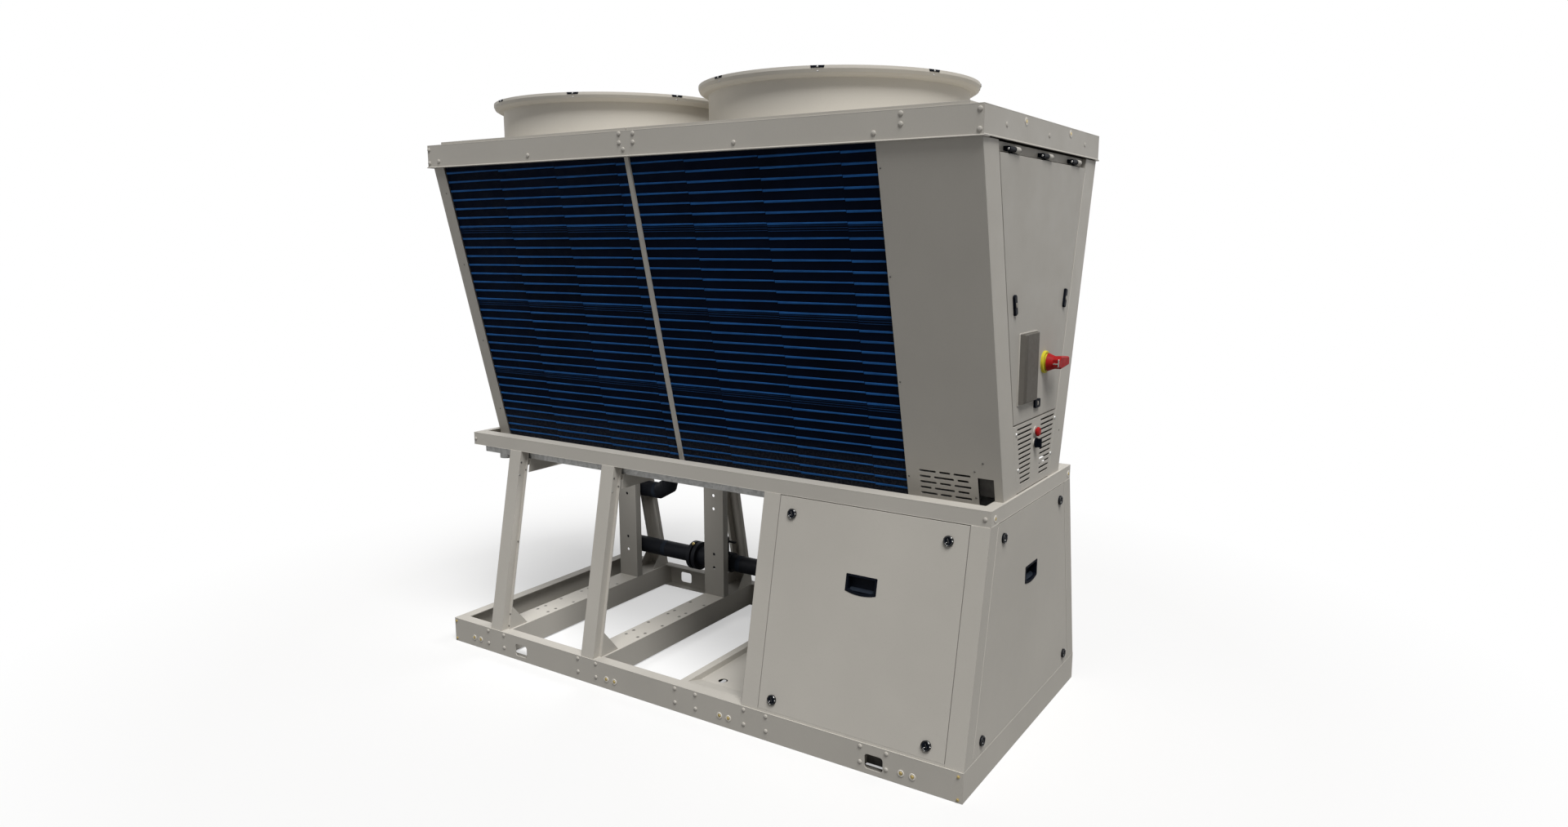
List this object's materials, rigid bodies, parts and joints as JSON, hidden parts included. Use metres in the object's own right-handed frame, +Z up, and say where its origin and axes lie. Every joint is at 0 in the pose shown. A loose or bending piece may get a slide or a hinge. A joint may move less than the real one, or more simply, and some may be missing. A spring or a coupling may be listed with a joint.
{
  "type": "modular air source heat pump",
  "caption": "Outdoor air source heat pump: steel base, compressor box, V-shaped finned coils, top fans in flared shrouds and a cabinet with a top-hung door.",
  "frame": {"origin": "on the floor, under the middle of the overall length and width", "axes": "+Z up, +X along the unit towards the electrical cabinet, -Y the front with the compressor box's door"},
  "size_m": [2.453, 1.121, 2.287],
  "materials": {
    "casing_paint": "satin",
    "frame_paint": "satin",
    "door_paint": "satin",
    "coil_fins": "hydrophilic blue coating",
    "galvanised_sheet": "spangled zinc",
    "hinge_steel": "blackened",
    "pipe_insulation": "closed-cell foam",
    "dark_plastic": "fine grain",
    "screen_cover": "ribbed",
    "yellow_plastic": "gloss",
    "red_plastic": "gloss",
    "guard_wire": "black coating",
    "fan_blades": "moulded",
    "motor_housing": "cast, painted"
  },
  "bodies": {
    "unit": {"base_rail_front": "frame_paint", "base_rail_rear": "frame_paint", "base_ends": "frame_paint", "base_cross_beams": "frame_paint", "drain_pan": "frame_paint", "front_legs": "frame_paint", "rear_legs": "frame_paint", "leg_gussets": "frame_paint", "rear_posts": "frame_paint", "upper_cross_beams": "frame_paint", "mid_frame_rails": "frame_paint", "drip_tray": "galvanised_sheet", "pipe_lower": "pipe_insulation", "pipe_return_bend": "pipe_insulation", "pipe_upper": "pipe_insulation", "shutoff_valve": "pipe_insulation", "box_posts": "casing_paint", "box_sills": "casing_paint", "box_inner_wall": "galvanised_sheet", "access_panel_front": "door_paint", "access_panel_rear": "door_paint", "access_panel_end": "door_paint", "panel_handles": "dark_plastic", "panel_locks": "dark_plastic", "coils_front": "coil_fins", "coils_rear": "coil_fins", "coil_posts": "casing_paint", "left_end_panel": "casing_paint", "cabinet_side_front": "casing_paint", "cabinet_side_rear": "casing_paint", "cabinet_stiles": "casing_paint", "cabinet_partition": "galvanised_sheet", "cabinet_rails": "casing_paint", "vent_panel": "casing_paint", "hinges_fixed": "hinge_steel", "top_frame_rails": "casing_paint", "top_deck_left": "casing_paint", "top_deck_right": "casing_paint", "fan_shroud_left": "casing_paint", "fan_shroud_right": "casing_paint", "fan_guards": "guard_wire", "fan_motors": "motor_housing", "fan_rotor_left": "fan_blades", "fan_rotor_right": "fan_blades"},
    "door": {"cabinet_door": "door_paint", "hinge_straps": "hinge_steel", "door_latches": "dark_plastic", "display_hood": "screen_cover", "data_port": "dark_plastic", "isolator_plate": "yellow_plastic"},
    "isolator": {"isolator_handle": "red_plastic"},
    "button": {"stop_button": "red_plastic"},
    "selector": {"selector_knob": "dark_plastic"}
  },
  "joints": [
    {"name": "door_hinge", "type": "hinge", "parent": "unit", "child": "door", "pos_m": [1.1665, 0, 2.0135], "axis": [0, -1, 0], "range_deg": [0, 90]},
    {"name": "isolator_turn", "type": "hinge", "parent": "door", "child": "isolator", "pos_m": [1.2035, 0.0635, 1.335], "axis": [1, 0, 0], "range_deg": [0, 90]},
    {"name": "selector_turn", "type": "hinge", "parent": "unit", "child": "selector", "pos_m": [1.1785, 0, 1.064], "axis": [1, 0, 0], "range_deg": [-45, 45]},
    {"name": "button_press", "type": "slide", "parent": "unit", "child": "button", "axis": [-1, 0, 0], "range_m": [0, 0.004], "stiffness_N_per_m": 400}
  ]
}
